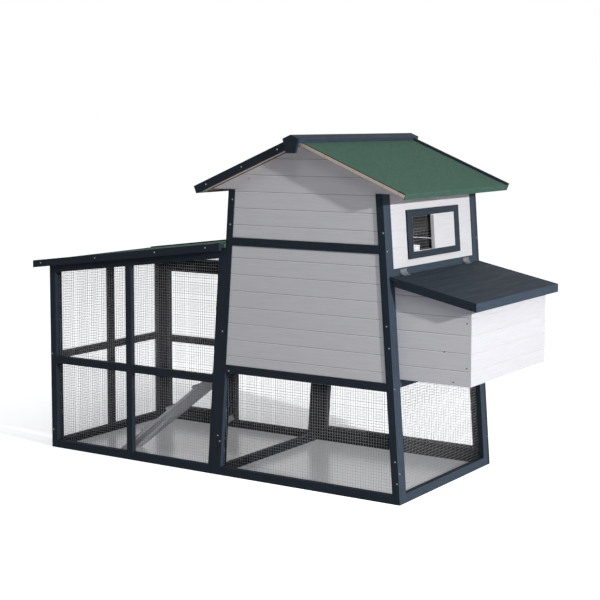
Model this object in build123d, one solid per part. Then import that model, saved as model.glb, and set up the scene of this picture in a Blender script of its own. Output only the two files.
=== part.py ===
from build123d import *
import os
from math import ceil, cos, radians, sin, tan

# Chicken coop with a lean-to run, in millimetres.
# X runs along the length, with the run at -X and the nest box at +X. Y runs from the front to the back.
# The sizes are laid out from the front left corner of the house on the ground.

# Timber sections
batten_width = 34
batten_depth = 24
bottom_rail_height = 38
board_thickness = 12
board_pitch = 73
board_bevel = 2
thinnest_row = 14
board_datum_drop = 10
front_board_inset = 4

# House
house_length = 957
house_depth = 855
post_height = 1286
post_lean = 4.0
floor_top = 515
floor_thickness = 12
bearer_size = 24
mid_rail_top = 1073

# House roof
gable_rise = 221
roof_pitch = 22.6
roof_slope_length = 567
roof_overhang = 52
roof_board_thickness = 13
felt_thickness = 3
cap_width = 38
cap_thickness = 18
cap_overhang = 14
barge_width = 34
barge_thickness = 18
barge_rise = 10
plate_thickness = 12
plate_half_width = 40
plate_foot_half_width = 24
plate_drop = 77

# Window and shutter
window_below_post_top = 104
window_width = 391
window_height = 151
window_stile = 42
window_rail = 28
window_frame_proud = 4
right_board_inset = 4
shutter_thickness = 4
shutter_width = 249
shutter_lap = 8
shutter_clearance = 0.5
shutter_right_lap = 34
shutter_pull_width = 20
shutter_pull_depth = 12
shutter_pull_end_gap = 4

# Nest box
nest_reach = 290
nest_first_row = 61
partition_headroom = 100
lid_rail_below_window = 31
lid_hinge_drop = 22
lid_pitch = 12.0
lid_thickness = 15
lid_overhang = 41
lid_end_overhang = 42
lid_rim_width = 18
lid_rim_height = 20
lid_clearance = 0.3
lid_back_gap = 6

# Netting
net_pitch = 101.6
net_wire = 3
net_thickness = 1.2
net_lap = 8
touching = 1e-6
window_net_pitch = 50.8

# Run
run_length = 980
run_eave_height = 899
run_roof_pitch = 7.0
run_mid_rail_top = 449
run_side_rail_top = 465
run_front_top_rail = 46
run_roof_side_overhang = 12
run_roof_end_overhang = 81
fascia_height = 34
fascia_thickness = 18
fascia_rise = 6
fascia_wall_gap = 14

# Doors
door_gap = 3
run_door_header_drop = 36
stop_length = 42
stop_width = 26
stop_thickness = 14
stop_height = 44
stop_tilt = -32
house_door_width = 400
door_ledger_height = 60
door_ledger_from_end = 100
hand_hole_width = 38
hand_hole_height = 30
hand_hole_drop = 34
hand_hole_from_edge = 101

# Hinges
hinge_length = 54
hinge_leaf_width = 18
hinge_leaf_thickness = 2
knuckle_radius = 4
knuckle_sides = 8
pin_radius = 2
pin_clearance = 0.05
knuckle_gap = 0.3
lid_hinge_from_end = 79
door_hinge_from_end = 110
ramp_hinge_spacing = 110

# Turn buttons
button_length = 80
button_width = 18
button_thickness = 10
button_corner = 5
button_clearance = 0.5
button_screw_radius = 2.5
button_screw_head_radius = 5
button_screw_head_height = 3
button_bore_clearance = 0.1
house_button_height = 770
run_button_height = 560
under_button_height = 250

# Pop hole, pop door and ramp
pop_hole_width = 188
pop_hole_height = 270
pop_door_lap = 8
pop_door_thickness = 9
pop_door_clearance = 0.5
pop_runner_lip = 10
pop_runner_web = 6
pop_runner_depth = 14
pop_runner_end_margin = 20
pop_pull_height = 120
pop_pull_width = 20
pop_pull_depth = 12
ramp_width = 180
ramp_pitch = 37.4
ramp_thickness = 12
ramp_end_gap = 6
ramp_hinge_drop = 27
ramp_ground_gap = 0.3
cleat_width = 18
cleat_height = 12
cleat_pitch = 192
cleat_first = 23
cleat_end_margin = 60

# Perch
perch_radius = 15
perch_height = 800
perch_from_left = 200
perch_clearance = 0.3
perch_bracket_size = 60
perch_bracket_thickness = 20
perch_bracket_web = 15

lean = tan(radians(post_lean))
floor_rail_top = floor_top - floor_thickness
floor_rail_low = floor_rail_top - batten_width
ridge_height = post_height + gable_rise
board_datum = post_height - board_datum_drop
window_head = post_height - window_below_post_top
window_sill = window_head - window_height
lid_rail_top = window_sill - window_rail - lid_rail_below_window
run_door_header_top = run_eave_height - run_door_header_drop
back_inner = house_depth - batten_depth
ridge_x = house_length / 2
LEFT = -1
RIGHT = 1

# The origin is on the ground under the middle of the whole coop.
coop_low_x = -run_length - run_roof_end_overhang
coop_high_x = house_length + nest_reach + lid_overhang
to_origin = Pos(-(coop_low_x + coop_high_x) / 2, -house_depth / 2, 0)


def save(node, *pieces):
    """Write a node whose pieces stay separate solids."""
    solids = [solid for piece in pieces for solid in piece.solids()]
    export_step(to_origin * Compound(solids), f"parts/{node}.step")


def block(x0, x1, y0, y1, z0, z1):
    return Pos((x0 + x1) / 2, (y0 + y1) / 2, (z0 + z1) / 2) * Box(x1 - x0, y1 - y0, z1 - z0)


def prism_y(outline, y0, y1):
    """Extrude an outline of (x, z) points from y0 to y1."""
    face = make_face(Polyline([(x, y0, z) for x, z in outline], close=True))
    return extrude(face, y1 - y0, dir=(0, 1, 0))


def prism_x(outline, x0, x1):
    """Extrude an outline of (y, z) points from x0 to x1."""
    face = make_face(Polyline([(x0, y, z) for y, z in outline], close=True))
    return extrude(face, x1 - x0, dir=(1, 0, 0))


def wall_x(side, z, inset=0):
    """X of the leaning outer face of a side wall at height z, moved inwards by inset."""
    return ridge_x + side * (ridge_x - lean * z - inset)


def lean_bar(side, y0, y1, z0, z1, outer=0, inner=batten_depth):
    """A bar in a leaning side wall, with level ends."""
    corners = ((z0, outer), (z1, outer), (z1, inner), (z0, inner))
    return prism_y([(wall_x(side, z, inset), z) for z, inset in corners], y0, y1)


def between_posts(z0, z1, inset=batten_width):
    """Outline between the two leaning posts of the front or back frame."""
    low = [(wall_x(LEFT, z0, inset), z0), (wall_x(RIGHT, z0, inset), z0)]
    return low + [(wall_x(RIGHT, z1, inset), z1), (wall_x(LEFT, z1, inset), z1)]


def board_rows(low, high, datum=board_datum):
    """Heights of the board joints from low to high, on a pitch that passes through datum."""
    joints = [low]
    joint = datum + board_pitch * ceil((low + thinnest_row - datum) / board_pitch)
    while joint < high - thinnest_row:
        joints.append(joint)
        joint += board_pitch
    joints.append(high)
    return list(zip(joints, joints[1:]))


def board_section(face, back, z0, z1):
    """Section of a board with bevelled edges on its face, as (distance, height) points."""
    bevelled = face + board_bevel * (1 if back > face else -1)
    low = [(back, z0), (bevelled, z0), (face, z0 + board_bevel)]
    return low + [(face, z1 - board_bevel), (bevelled, z1), (back, z1)]


def boards_along_x(outline, face, back, datum=board_datum):
    """Boards that fill an (x, z) outline in a front or back wall."""
    xs = [x for x, z in outline]
    zs = [z for x, z in outline]
    trim = prism_y(outline, min(face, back), max(face, back))
    rows = board_rows(min(zs), max(zs), datum)
    return [prism_x(board_section(face, back, z0, z1), min(xs), max(xs)) & trim for z0, z1 in rows]


def boards_along_y(side, y0, y1, z0, z1, inset):
    """Boards that fill a part of a leaning side wall, recessed from its frame by inset."""
    boards = []
    for low, high in board_rows(z0, z1):
        section = board_section(inset, inset + board_thickness, low, high)
        boards.append(prism_y([(wall_x(side, z, inset), z) for inset, z in section], y0, y1))
    return boards


def clip(cell, start, end):
    """Keep the part of a cell on the left of the line from start to end."""
    def off(point):
        across = (end[0] - start[0]) * (point[1] - start[1])
        return across - (end[1] - start[1]) * (point[0] - start[0])

    kept = []
    for here, after in zip(cell, cell[1:] + cell[:1]):
        if off(here) > -touching:
            kept.append(here)
        if off(here) * off(after) < -touching:
            share = off(here) / (off(here) - off(after))
            kept.append(tuple(a + share * (b - a) for a, b in zip(here, after)))
    return kept


def cell_area(cell):
    return sum(a[0] * b[1] - b[0] * a[1] for a, b in zip(cell, cell[1:] + cell[:1])) / 2


def net(outline, lift, through, pitch=net_pitch):
    """Flat netting over a convex anticlockwise outline; lift places a point, through is the thickness way."""
    inner = [(outline[i], outline[(i + 1) % len(outline)]) for i in range(len(outline))]
    us = [u for u, v in outline]
    vs = [v for u, v in outline]
    columns = ceil((max(us) - min(us)) / pitch)
    rows = ceil((max(vs) - min(vs)) / pitch)
    gaps = []
    for column in range(columns):
        for row in range(rows):
            u = min(us) + column * pitch + net_wire
            v = min(vs) + row * pitch + net_wire
            u_end = u + pitch - net_wire
            v_end = v + pitch - net_wire
            cell = [(u, v), (u_end, v), (u_end, v_end), (u, v_end)]
            for start, end in inner:
                cell = clip(cell, *selvedge(start, end)) if cell else cell
            if len(cell) > 2 and cell_area(cell) > (pitch / 4) ** 2:
                gaps.append(Wire.make_polygon([lift(*point) for point in cell]))
    face = Face(Wire.make_polygon([lift(*point) for point in outline]), gaps)
    return extrude(face, net_thickness, dir=through)


def selvedge(start, end):
    """The line one wire inside an edge of an anticlockwise outline."""
    along = Vector(end[0] - start[0], end[1] - start[1]).normalized()
    shift = Vector(-along.Y, along.X) * net_wire
    return (start[0] + shift.X, start[1] + shift.Y), (end[0] + shift.X, end[1] + shift.Y)


def upright_net(outline, y, pitch=net_pitch):
    """Netting of (x, z) outline whose front face is at y."""
    return net(outline, lambda x, z: (x, y, z), (0, 1, 0), pitch)


def hinge_leaf(middle, axis, out, onto, low, high):
    """A hinge leaf on the surface towards onto, with a faceted barrel from low to high on its axis."""
    frame = Plane(origin=middle, x_dir=out, z_dir=axis)
    side = 1 if Vector(axis).cross(Vector(out)).dot(Vector(onto)) > 0 else -1
    leaf_y = side * (knuckle_radius - hinge_leaf_thickness / 2)
    root = knuckle_radius + knuckle_gap
    blade_middle = (root + hinge_leaf_width) / 2
    leaf = Pos(blade_middle, leaf_y, 0) * Box(hinge_leaf_width - root, hinge_leaf_thickness, hinge_length)
    barrel = Pos(0, 0, low) * RegularPolygon(knuckle_radius, knuckle_sides)
    leaf += extrude(barrel, high - low)
    leaf += Pos(root / 2, leaf_y, (low + high) / 2) * Box(root, hinge_leaf_thickness, high - low)
    leaf -= Cylinder(pin_radius + pin_clearance, hinge_length)
    return frame.location * leaf


class Hinge:
    """A hinge of two leaves and a pin, with out along each leaf and onto towards its surface."""

    def __init__(self, middle, axis, fixed_out, fixed_onto, moving_out, moving_onto):
        end = hinge_length / 2
        meet = knuckle_gap / 2
        self.fixed = hinge_leaf(middle, axis, fixed_out, fixed_onto, -end, -meet)
        self.moving = hinge_leaf(middle, axis, moving_out, moving_onto, meet, end)
        pin_plane = Plane(origin=middle, z_dir=axis)
        self.pin = pin_plane.location * Cylinder(pin_radius, hinge_length)


def turn_button(x, z):
    """A turn button that stands upright on the back face, with its screw."""
    face = Plane(origin=(x, house_depth + button_clearance, z), x_dir=(0, 0, 1), z_dir=(0, 1, 0))
    bore = button_screw_radius + button_bore_clearance
    plank = Rectangle(button_length, button_width)
    plank = chamfer(plank.vertices(), button_corner) - Circle(bore)
    button = extrude(face * plank, button_thickness)
    shank_length = button_thickness + 2 * button_clearance
    seat = Plane(origin=(x, house_depth, z), z_dir=(0, 1, 0))
    screw = extrude(seat * Circle(button_screw_radius), shank_length)
    screw += extrude(seat.offset(shank_length) * Circle(button_screw_head_radius), button_screw_head_height)
    return button, screw


# Heights and places that several pieces share
mid_rail_low = mid_rail_top - batten_width
side_front = batten_depth + batten_width
side_back = back_inner - batten_width
board_inset = batten_depth - board_thickness
front_back = front_board_inset + board_thickness
back_face = back_inner + board_thickness
lean_sin = sin(radians(post_lean))
lean_cos = cos(radians(post_lean))


# House frames
def end_frame(y0, y1):
    """Two leaning posts with the bottom rail, floor rail and mid rail between them."""
    bars = [lean_bar(side, y0, y1, 0, post_height, 0, batten_width) for side in (LEFT, RIGHT)]
    bars.append(prism_y(between_posts(0, bottom_rail_height), y0, y1))
    bars.append(prism_y(between_posts(floor_rail_low, floor_rail_top), y0, y1))
    bars.append(prism_y(between_posts(mid_rail_low, mid_rail_top), y0, y1))
    return bars


def side_frame(side):
    """Two leaning stiles with the bottom rail and the floor rail between them."""
    return [
        lean_bar(side, batten_depth, side_front, 0, post_height),
        lean_bar(side, side_back, back_inner, 0, post_height),
        lean_bar(side, side_front, side_back, 0, bottom_rail_height),
        lean_bar(side, side_front, side_back, floor_top - batten_width, floor_top),
    ]


door_left = ridge_x - house_door_width / 2
door_right = ridge_x + house_door_width / 2
left_jamb = door_left - batten_width
right_jamb = door_right + batten_width
jambs = [
    block(left_jamb, door_left, back_inner, house_depth, floor_rail_top, mid_rail_low),
    block(door_right, right_jamb, back_inner, house_depth, floor_rail_top, mid_rail_low),
]
lid_rail = lean_bar(RIGHT, side_front, side_back, lid_rail_top - batten_width, lid_rail_top)

save_list = {}
save_list["house_front_frame"] = end_frame(0, batten_depth)
save_list["house_back_frame"] = end_frame(back_inner, house_depth) + jambs
save_list["house_left_frame"] = side_frame(LEFT)
save_list["house_right_frame"] = side_frame(RIGHT) + [lid_rail]

bearer_outline = between_posts(floor_rail_top - bearer_size, floor_rail_top, batten_depth)
save_list["floor_bearers"] = [
    prism_y(bearer_outline, batten_depth, batten_depth + bearer_size),
    prism_y(bearer_outline, back_inner - bearer_size, back_inner),
]
floor_outline = between_posts(floor_rail_top, floor_top, batten_depth)
save_list["house_floor"] = [prism_y(floor_outline, batten_depth, back_inner)]


# House roof
roof_sin = sin(radians(roof_pitch))
roof_cos = cos(radians(roof_pitch))
roof_tan = tan(radians(roof_pitch))
roof_front = -roof_overhang
roof_back = house_depth + roof_overhang
barge_front = roof_front - barge_thickness
cap_front = barge_front - cap_overhang
cap_back = roof_back + barge_thickness + cap_overhang
roof_underside = felt_thickness + roof_board_thickness


def roof_point(side, along, depth):
    """Point on a roof slope, along from the ridge and depth below the top of the felt."""
    across = along * roof_cos - depth * roof_sin
    return ridge_x + side * across, ridge_height - along * roof_sin - depth * roof_cos


def roof_layer(side, top, bottom, y0, y1, end=roof_slope_length):
    """A layer of one roof slope from the ridge down to end."""
    corners = [(top * roof_tan, top), (end, top), (end, bottom), (bottom * roof_tan, bottom)]
    return prism_y([roof_point(side, along, depth) for along, depth in corners], y0, y1)


def barge(side, y0):
    """A barge board on one gable edge, from the ridge cap down to the eave."""
    bottom = barge_width - barge_rise
    corners = [(cap_width, -barge_rise), (roof_slope_length, -barge_rise)]
    corners += [(roof_slope_length, bottom), (cap_width, bottom)]
    outline = [roof_point(side, along, depth) for along, depth in corners]
    return prism_y(outline, y0, y0 + barge_thickness)


for side, word in ((LEFT, "left"), (RIGHT, "right")):
    felt = roof_layer(side, 0, felt_thickness, roof_front, roof_back)
    boarding = roof_layer(side, felt_thickness, roof_underside, roof_front, roof_back)
    save_list[f"roof_felt_{word}"] = [felt]
    save_list[f"roof_board_{word}"] = [boarding]
cap_sides = [roof_layer(side, -cap_thickness, 0, cap_front, cap_back, cap_width) for side in (LEFT, RIGHT)]
save_list["ridge_cap"] = cap_sides
save_list["barge_boards"] = [barge(LEFT, barge_front), barge(LEFT, roof_back), barge(RIGHT, roof_back)]

plate_top = ridge_height + cap_thickness / roof_cos
plate_shoulder = plate_top - plate_half_width * roof_tan
plate_outline = [
    (ridge_x, plate_top),
    (ridge_x - plate_half_width, plate_shoulder),
    (ridge_x - plate_foot_half_width, plate_top - plate_drop),
    (ridge_x + plate_foot_half_width, plate_top - plate_drop),
    (ridge_x + plate_half_width, plate_shoulder),
]
save_list["ridge_end_plates"] = [
    prism_y(plate_outline, cap_front - plate_thickness, cap_front),
    prism_y(plate_outline, cap_back, cap_back + plate_thickness),
]

# House wall boards
gable_top = ridge_height - roof_underside / roof_cos
gable_half_width = (gable_top - post_height) / roof_tan
upper_wall = between_posts(mid_rail_top, board_datum)
on_posts = between_posts(board_datum, post_height)
gable_outline = [
    (ridge_x - gable_half_width, post_height),
    on_posts[3],
    on_posts[0],
    on_posts[1],
    on_posts[2],
    (ridge_x + gable_half_width, post_height),
    (ridge_x, gable_top),
]
save_list["front_gable_boards"] = boards_along_x(gable_outline, front_board_inset, front_back)
save_list["back_gable_boards"] = boards_along_x(gable_outline, back_face, back_inner)

lower_wall = between_posts(floor_rail_top, mid_rail_low)
beside_left = [lower_wall[0], (left_jamb, floor_rail_top), (left_jamb, mid_rail_low), lower_wall[3]]
beside_right = [(right_jamb, floor_rail_top), lower_wall[1], lower_wall[2], (right_jamb, mid_rail_low)]
save_list["front_wall_boards"] = []
for outline in (lower_wall, upper_wall):
    save_list["front_wall_boards"] += boards_along_x(outline, front_board_inset, front_back)
save_list["back_wall_boards"] = []
for outline in (beside_left, beside_right, upper_wall):
    save_list["back_wall_boards"] += boards_along_x(outline, back_face, back_inner)

wall_head = (gable_top - roof_tan * (ridge_x - batten_depth)) / (1 - roof_tan * lean)
under_roof_outline = [(wall_x(LEFT, 0), 0), (wall_x(RIGHT, 0), 0)]
under_roof_outline += [(wall_x(RIGHT, 0), gable_top - roof_tan * ridge_x), (ridge_x, gable_top)]
under_roof_outline += [(wall_x(LEFT, 0), gable_top - roof_tan * ridge_x)]
under_roof = prism_y(under_roof_outline, 0, house_depth)

window_low = (house_depth - window_width) / 2
window_high = (house_depth + window_width) / 2
window_hole = lean_bar(RIGHT, window_low, window_high, window_sill, window_head)
pop_hole_top = floor_top + pop_hole_height
pop_hole_end = side_front + pop_hole_width
pop_hole = lean_bar(LEFT, side_front, pop_hole_end, floor_top, pop_hole_top)
right_boards = boards_along_y(RIGHT, side_front, side_back, lid_rail_top, wall_head, right_board_inset)
left_boards = boards_along_y(LEFT, side_front, side_back, floor_top, wall_head, board_inset)
save_list["right_wall_boards"] = [(board & under_roof) - window_hole for board in right_boards]
save_list["left_wall_boards"] = [(board & under_roof) - pop_hole for board in left_boards]

# Window: frame with a groove, netting behind the wall, shutter that slides to the front
shutter_inner = right_board_inset - shutter_clearance
shutter_outer = shutter_inner - shutter_thickness
shutter_end = window_high + shutter_right_lap
shutter_start = shutter_end - shutter_width
shutter_low = window_sill - shutter_lap
shutter_high = window_head + shutter_lap
groove = lean_bar(
    RIGHT,
    window_low,
    shutter_end + shutter_clearance,
    shutter_low - shutter_clearance,
    shutter_high + shutter_clearance,
    shutter_outer - shutter_clearance,
    right_board_inset,
)


def window_bar(y0, y1, z0, z1):
    return lean_bar(RIGHT, y0, y1, z0, z1, -window_frame_proud, right_board_inset) - groove


frame_low = window_sill - window_rail
frame_high = window_head + window_rail
save_list["window_frame"] = [
    window_bar(window_low - window_stile, window_low, frame_low, frame_high),
    window_bar(window_high, window_high + window_stile, frame_low, frame_high),
    window_bar(window_low, window_high, frame_low, window_sill),
    window_bar(window_low, window_high, window_head, frame_high),
]
shutter = lean_bar(RIGHT, shutter_start, shutter_end, shutter_low, shutter_high, shutter_outer, shutter_inner)
shutter_pull = lean_bar(
    RIGHT,
    shutter_start,
    shutter_start + shutter_pull_width,
    window_sill + shutter_pull_end_gap,
    window_head - shutter_pull_end_gap,
    shutter_outer - shutter_pull_depth,
    shutter_outer,
)
save_list["window_shutter"] = [shutter, shutter_pull]


def right_wall_net(y0, y1, z0, z1, inset, pitch):
    """Netting on a face of the right wall that lies inwards by inset."""
    outline = [(y0, z0), (y1, z0), (y1, z1), (y0, z1)]
    return net(outline, lambda y, z: (wall_x(RIGHT, z, inset), y, z), (-1, 0, 0), pitch)


save_list["window_net"] = [
    right_wall_net(
        window_low - net_lap,
        window_high + net_lap,
        window_sill - net_lap,
        window_head + net_lap,
        right_board_inset + board_thickness,
        window_net_pitch,
    )
]
bay_low = bottom_rail_height - net_lap
side_bay_high = floor_top - batten_width + net_lap
save_list["house_right_net"] = [
    right_wall_net(
        side_front - net_lap,
        side_back + net_lap,
        bay_low,
        side_bay_high,
        batten_depth,
        net_pitch,
    )
]
front_bay = between_posts(bay_low, floor_rail_low + net_lap, batten_width - net_lap)
save_list["house_front_net"] = [upright_net(front_bay, batten_depth)]

# Nest box and its lid
lid_sin = sin(radians(lid_pitch))
lid_cos = cos(radians(lid_pitch))
lid_axis_z = lid_rail_top - lid_hinge_drop
lid_axis_x = wall_x(RIGHT, lid_axis_z) + knuckle_radius / lean_cos
lid_top = -knuckle_radius
lid_under = lid_top - lid_thickness
lid_end = coop_high_x
nest_end = house_length + nest_reach
nest_inside = nest_end - board_thickness


def lid_point(along, above):
    """Point along the lid from its hinge axis, above the plane through the axis."""
    return lid_axis_x + along * lid_cos + above * lid_sin, lid_axis_z - along * lid_sin + above * lid_cos


def lid_height(x, above):
    """Height at x of the plane that lies above the one through the hinge axis."""
    along = (x - lid_axis_x - above * lid_sin) / lid_cos
    return lid_point(along, above)[1]


def nest_top(x):
    return lid_height(x, lid_under - lid_clearance)


lid_front = side_front - lid_end_overhang
lid_back = side_back + lid_end_overhang
lid_outline = [
    lid_point(lid_back_gap, lid_top),
    (lid_end, lid_height(lid_end, lid_top)),
    (lid_end, lid_height(lid_end, lid_under)),
    lid_point(lid_back_gap, lid_under),
]
rim_low = lid_under - lid_rim_height
rim_start = lid_back_gap + lid_rim_height
rim_end = lid_end - lid_rim_width
end_rim_outline = [
    (rim_end, lid_height(rim_end, lid_under)),
    (lid_end, lid_height(lid_end, lid_under)),
    (lid_end, lid_height(lid_end, rim_low)),
    (rim_end, lid_height(rim_end, rim_low)),
]
side_rim_outline = [
    lid_point(rim_start, lid_under),
    (rim_end, lid_height(rim_end, lid_under)),
    (rim_end, lid_height(rim_end, rim_low)),
    lid_point(rim_start, rim_low),
]
save_list["nest_lid"] = [
    prism_y(lid_outline, lid_front, lid_back),
    prism_y(end_rim_outline, lid_front, lid_back),
    prism_y(side_rim_outline, lid_front, lid_front + lid_rim_width),
    prism_y(side_rim_outline, lid_back - lid_rim_width, lid_back),
]

nest_datum = floor_top + nest_first_row
nest_slope = lid_sin / lid_cos
nest_wall_top = (nest_top(0) - nest_slope * (house_length - batten_depth)) / (1 - nest_slope * lean)
nest_side_outline = [
    (wall_x(RIGHT, floor_top, batten_depth), floor_top),
    (nest_inside, floor_top),
    (nest_inside, nest_top(nest_inside)),
    (wall_x(RIGHT, nest_wall_top, batten_depth), nest_wall_top),
]
nest_sides = boards_along_x(nest_side_outline, side_front, side_front + board_thickness, nest_datum)
nest_sides += boards_along_x(nest_side_outline, side_back, side_back - board_thickness, nest_datum)
save_list["nest_sides"] = [board - lid_rail for board in nest_sides]

outer_trim = prism_y(
    [
        (nest_inside, floor_top),
        (nest_end, floor_top),
        (nest_end, nest_top(nest_end)),
        (nest_inside, nest_top(nest_inside)),
    ],
    side_front,
    side_back,
)
save_list["nest_outer_wall"] = []
for low, high in board_rows(floor_top, nest_top(nest_inside), nest_datum):
    board = prism_y(board_section(nest_end, nest_inside, low, high), side_front, side_back)
    save_list["nest_outer_wall"].append(board & outer_trim)

nest_floor_top = floor_top + floor_thickness
nest_floor_outline = [
    (wall_x(RIGHT, floor_top, batten_depth), floor_top),
    (nest_inside, floor_top),
    (nest_inside, nest_floor_top),
    (wall_x(RIGHT, nest_floor_top, batten_depth), nest_floor_top),
]
nest_floor_front = side_front + board_thickness
nest_floor_back = side_back - board_thickness
save_list["nest_floor"] = [prism_y(nest_floor_outline, nest_floor_front, nest_floor_back)]
partition_top = nest_top(nest_inside) - partition_headroom
partition_outline = [
    (wall_x(RIGHT, nest_floor_top), nest_floor_top),
    (nest_inside, nest_floor_top),
    (nest_inside, partition_top),
    (wall_x(RIGHT, partition_top), partition_top),
]
partition_front = (house_depth - board_thickness) / 2
save_list["nest_partition"] = [prism_y(partition_outline, partition_front, partition_front + board_thickness)]

# Run frames
run_tan = tan(radians(run_roof_pitch))
run_cos = cos(radians(run_roof_pitch))
run_start = -run_length
run_inside = run_start + batten_width
run_middle = -run_length / 2
middle_low = run_middle - batten_width / 2
middle_high = run_middle + batten_width / 2
run_mid_rail_low = run_mid_rail_top - batten_width
top_rail_drop = batten_width / run_cos
front_rail_drop = run_front_top_rail / run_cos
header_low = run_door_header_top - batten_width


def run_under(x, drop=0):
    """Height of the underside of the run roof at x, less drop."""
    return run_eave_height + run_tan * (x + run_length) - drop


def run_meet(offset, drop=0):
    """Point where the line beside the leaning house post meets the run roof, less drop."""
    z = run_under(offset, drop) / (1 - run_tan * lean)
    return lean * z + offset, z


def upright(x0, x1, y0, y1, z0, drop=0):
    """An upright bar cut to the slope of the run roof, less drop."""
    return prism_y([(x0, z0), (x1, z0), (x1, run_under(x1, drop)), (x0, run_under(x0, drop))], y0, y1)


def to_house(x0, y0, y1, z0, z1):
    """A rail from x0 to the leaning run stile beside the house."""
    outline = [(x0, z0), (lean * z0 - batten_width, z0), (lean * z1 - batten_width, z1), (x0, z1)]
    return prism_y(outline, y0, y1)


def run_long_frame(y0, y1, drop):
    """Corner, house and middle stiles, bottom rail, right mid rail, and a top rail as deep as drop."""
    house_stile = [(-batten_width, 0), (0, 0), run_meet(0), run_meet(-batten_width)]
    top_rail = [(run_inside, run_under(run_inside, drop)), run_meet(-batten_width, drop)]
    top_rail += [run_meet(-batten_width), (run_inside, run_under(run_inside))]
    return [
        upright(run_start, run_inside, y0, y1, 0),
        prism_y(house_stile, y0, y1),
        upright(middle_low, middle_high, y0, y1, bottom_rail_height, drop),
        to_house(run_inside, y0, y1, 0, bottom_rail_height),
        prism_y(top_rail, y0, y1),
        to_house(middle_high, y0, y1, run_mid_rail_low, run_mid_rail_top),
    ]


left_mid_rail = block(run_inside, middle_low, 0, batten_depth, run_mid_rail_low, run_mid_rail_top)
header = block(run_inside, middle_low, back_inner, house_depth, header_low, run_door_header_top)
save_list["run_front_frame"] = run_long_frame(0, batten_depth, front_rail_drop) + [left_mid_rail]
save_list["run_back_frame"] = run_long_frame(back_inner, house_depth, top_rail_drop) + [header]

run_side_x = run_start + batten_depth
side_middle_low = (house_depth - batten_width) / 2
side_middle_high = (house_depth + batten_width) / 2
side_top_rail = [
    (run_start, run_under(run_start, top_rail_drop)),
    (run_side_x, run_under(run_side_x, top_rail_drop)),
    (run_side_x, run_under(run_side_x)),
    (run_start, run_under(run_start)),
]
side_mid_rail = (run_side_rail_top - batten_width, run_side_rail_top)
save_list["run_left_frame"] = [
    upright(run_start, run_side_x, batten_depth, side_front, 0),
    upright(run_start, run_side_x, side_back, back_inner, 0),
    upright(run_start, run_side_x, side_middle_low, side_middle_high, bottom_rail_height, top_rail_drop),
    block(run_start, run_side_x, side_front, side_back, 0, bottom_rail_height),
    prism_y(side_top_rail, side_front, side_back),
    block(run_start, run_side_x, side_front, side_middle_low, *side_mid_rail),
    block(run_start, run_side_x, side_middle_high, side_back, *side_mid_rail),
]

# Run netting
net_top_drop = top_rail_drop - net_lap
beside_house = net_lap - batten_width
back_net_y = back_inner - net_thickness


def run_net_to_house(x0, y, drop):
    """Netting from x0 to the stile beside the house, up to drop below the sloping roof."""
    outline = [(x0, bay_low), (lean * bay_low + beside_house, bay_low)]
    outline += [run_meet(beside_house, drop), (x0, run_under(x0, drop))]
    return upright_net(outline, y)


wedge_low = run_door_header_top - net_lap
wedge_start = run_inside - net_lap
wedge_end = middle_low + net_lap
wedge_outline = [
    (wedge_start, wedge_low),
    (wedge_end, wedge_low),
    (wedge_end, run_under(wedge_end, net_top_drop)),
    (wedge_start, run_under(wedge_start, net_top_drop)),
]
save_list["run_front_net"] = [run_net_to_house(run_inside - net_lap, batten_depth, front_rail_drop - net_lap)]
save_list["run_back_net"] = [
    run_net_to_house(middle_high - net_lap, back_net_y, net_top_drop),
    upright_net(wedge_outline, back_net_y),
]
left_net_high = run_under(run_side_x, net_top_drop)
left_net_outline = [
    (side_front - net_lap, bay_low),
    (side_back + net_lap, bay_low),
    (side_back + net_lap, left_net_high),
    (side_front - net_lap, left_net_high),
]
save_list["run_left_net"] = [net(left_net_outline, lambda y, z: (run_side_x, y, z), (1, 0, 0))]

# Run roof
run_roof_start = run_start - run_roof_end_overhang
run_roof_front = -run_roof_side_overhang
run_roof_back = house_depth + run_roof_side_overhang
run_roof_top = roof_board_thickness + felt_thickness
fascia_end = run_meet(0)[0] - fascia_wall_gap


def run_layer(low, high, y0, y1):
    """A layer of the run roof that ends against the leaning house wall."""
    outline = [(run_roof_start, run_under(run_roof_start, -low / run_cos)), run_meet(0, -low / run_cos)]
    outline += [run_meet(0, -high / run_cos), (run_roof_start, run_under(run_roof_start, -high / run_cos))]
    return prism_y(outline, y0, y1)


def fascia(y0):
    top = run_roof_top + fascia_rise
    heights = (top - fascia_height, top)
    outline = [(run_roof_start, run_under(run_roof_start, -height / run_cos)) for height in heights]
    outline += [(fascia_end, run_under(fascia_end, -height / run_cos)) for height in reversed(heights)]
    return prism_y(outline, y0, y0 + fascia_thickness)


save_list["run_roof_board"] = [run_layer(0, roof_board_thickness, run_roof_front, run_roof_back)]
save_list["run_roof_felt"] = [run_layer(roof_board_thickness, run_roof_top, run_roof_front, run_roof_back)]
save_list["run_roof_fascias"] = [fascia(run_roof_front - fascia_thickness), fascia(run_roof_back)]

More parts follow.
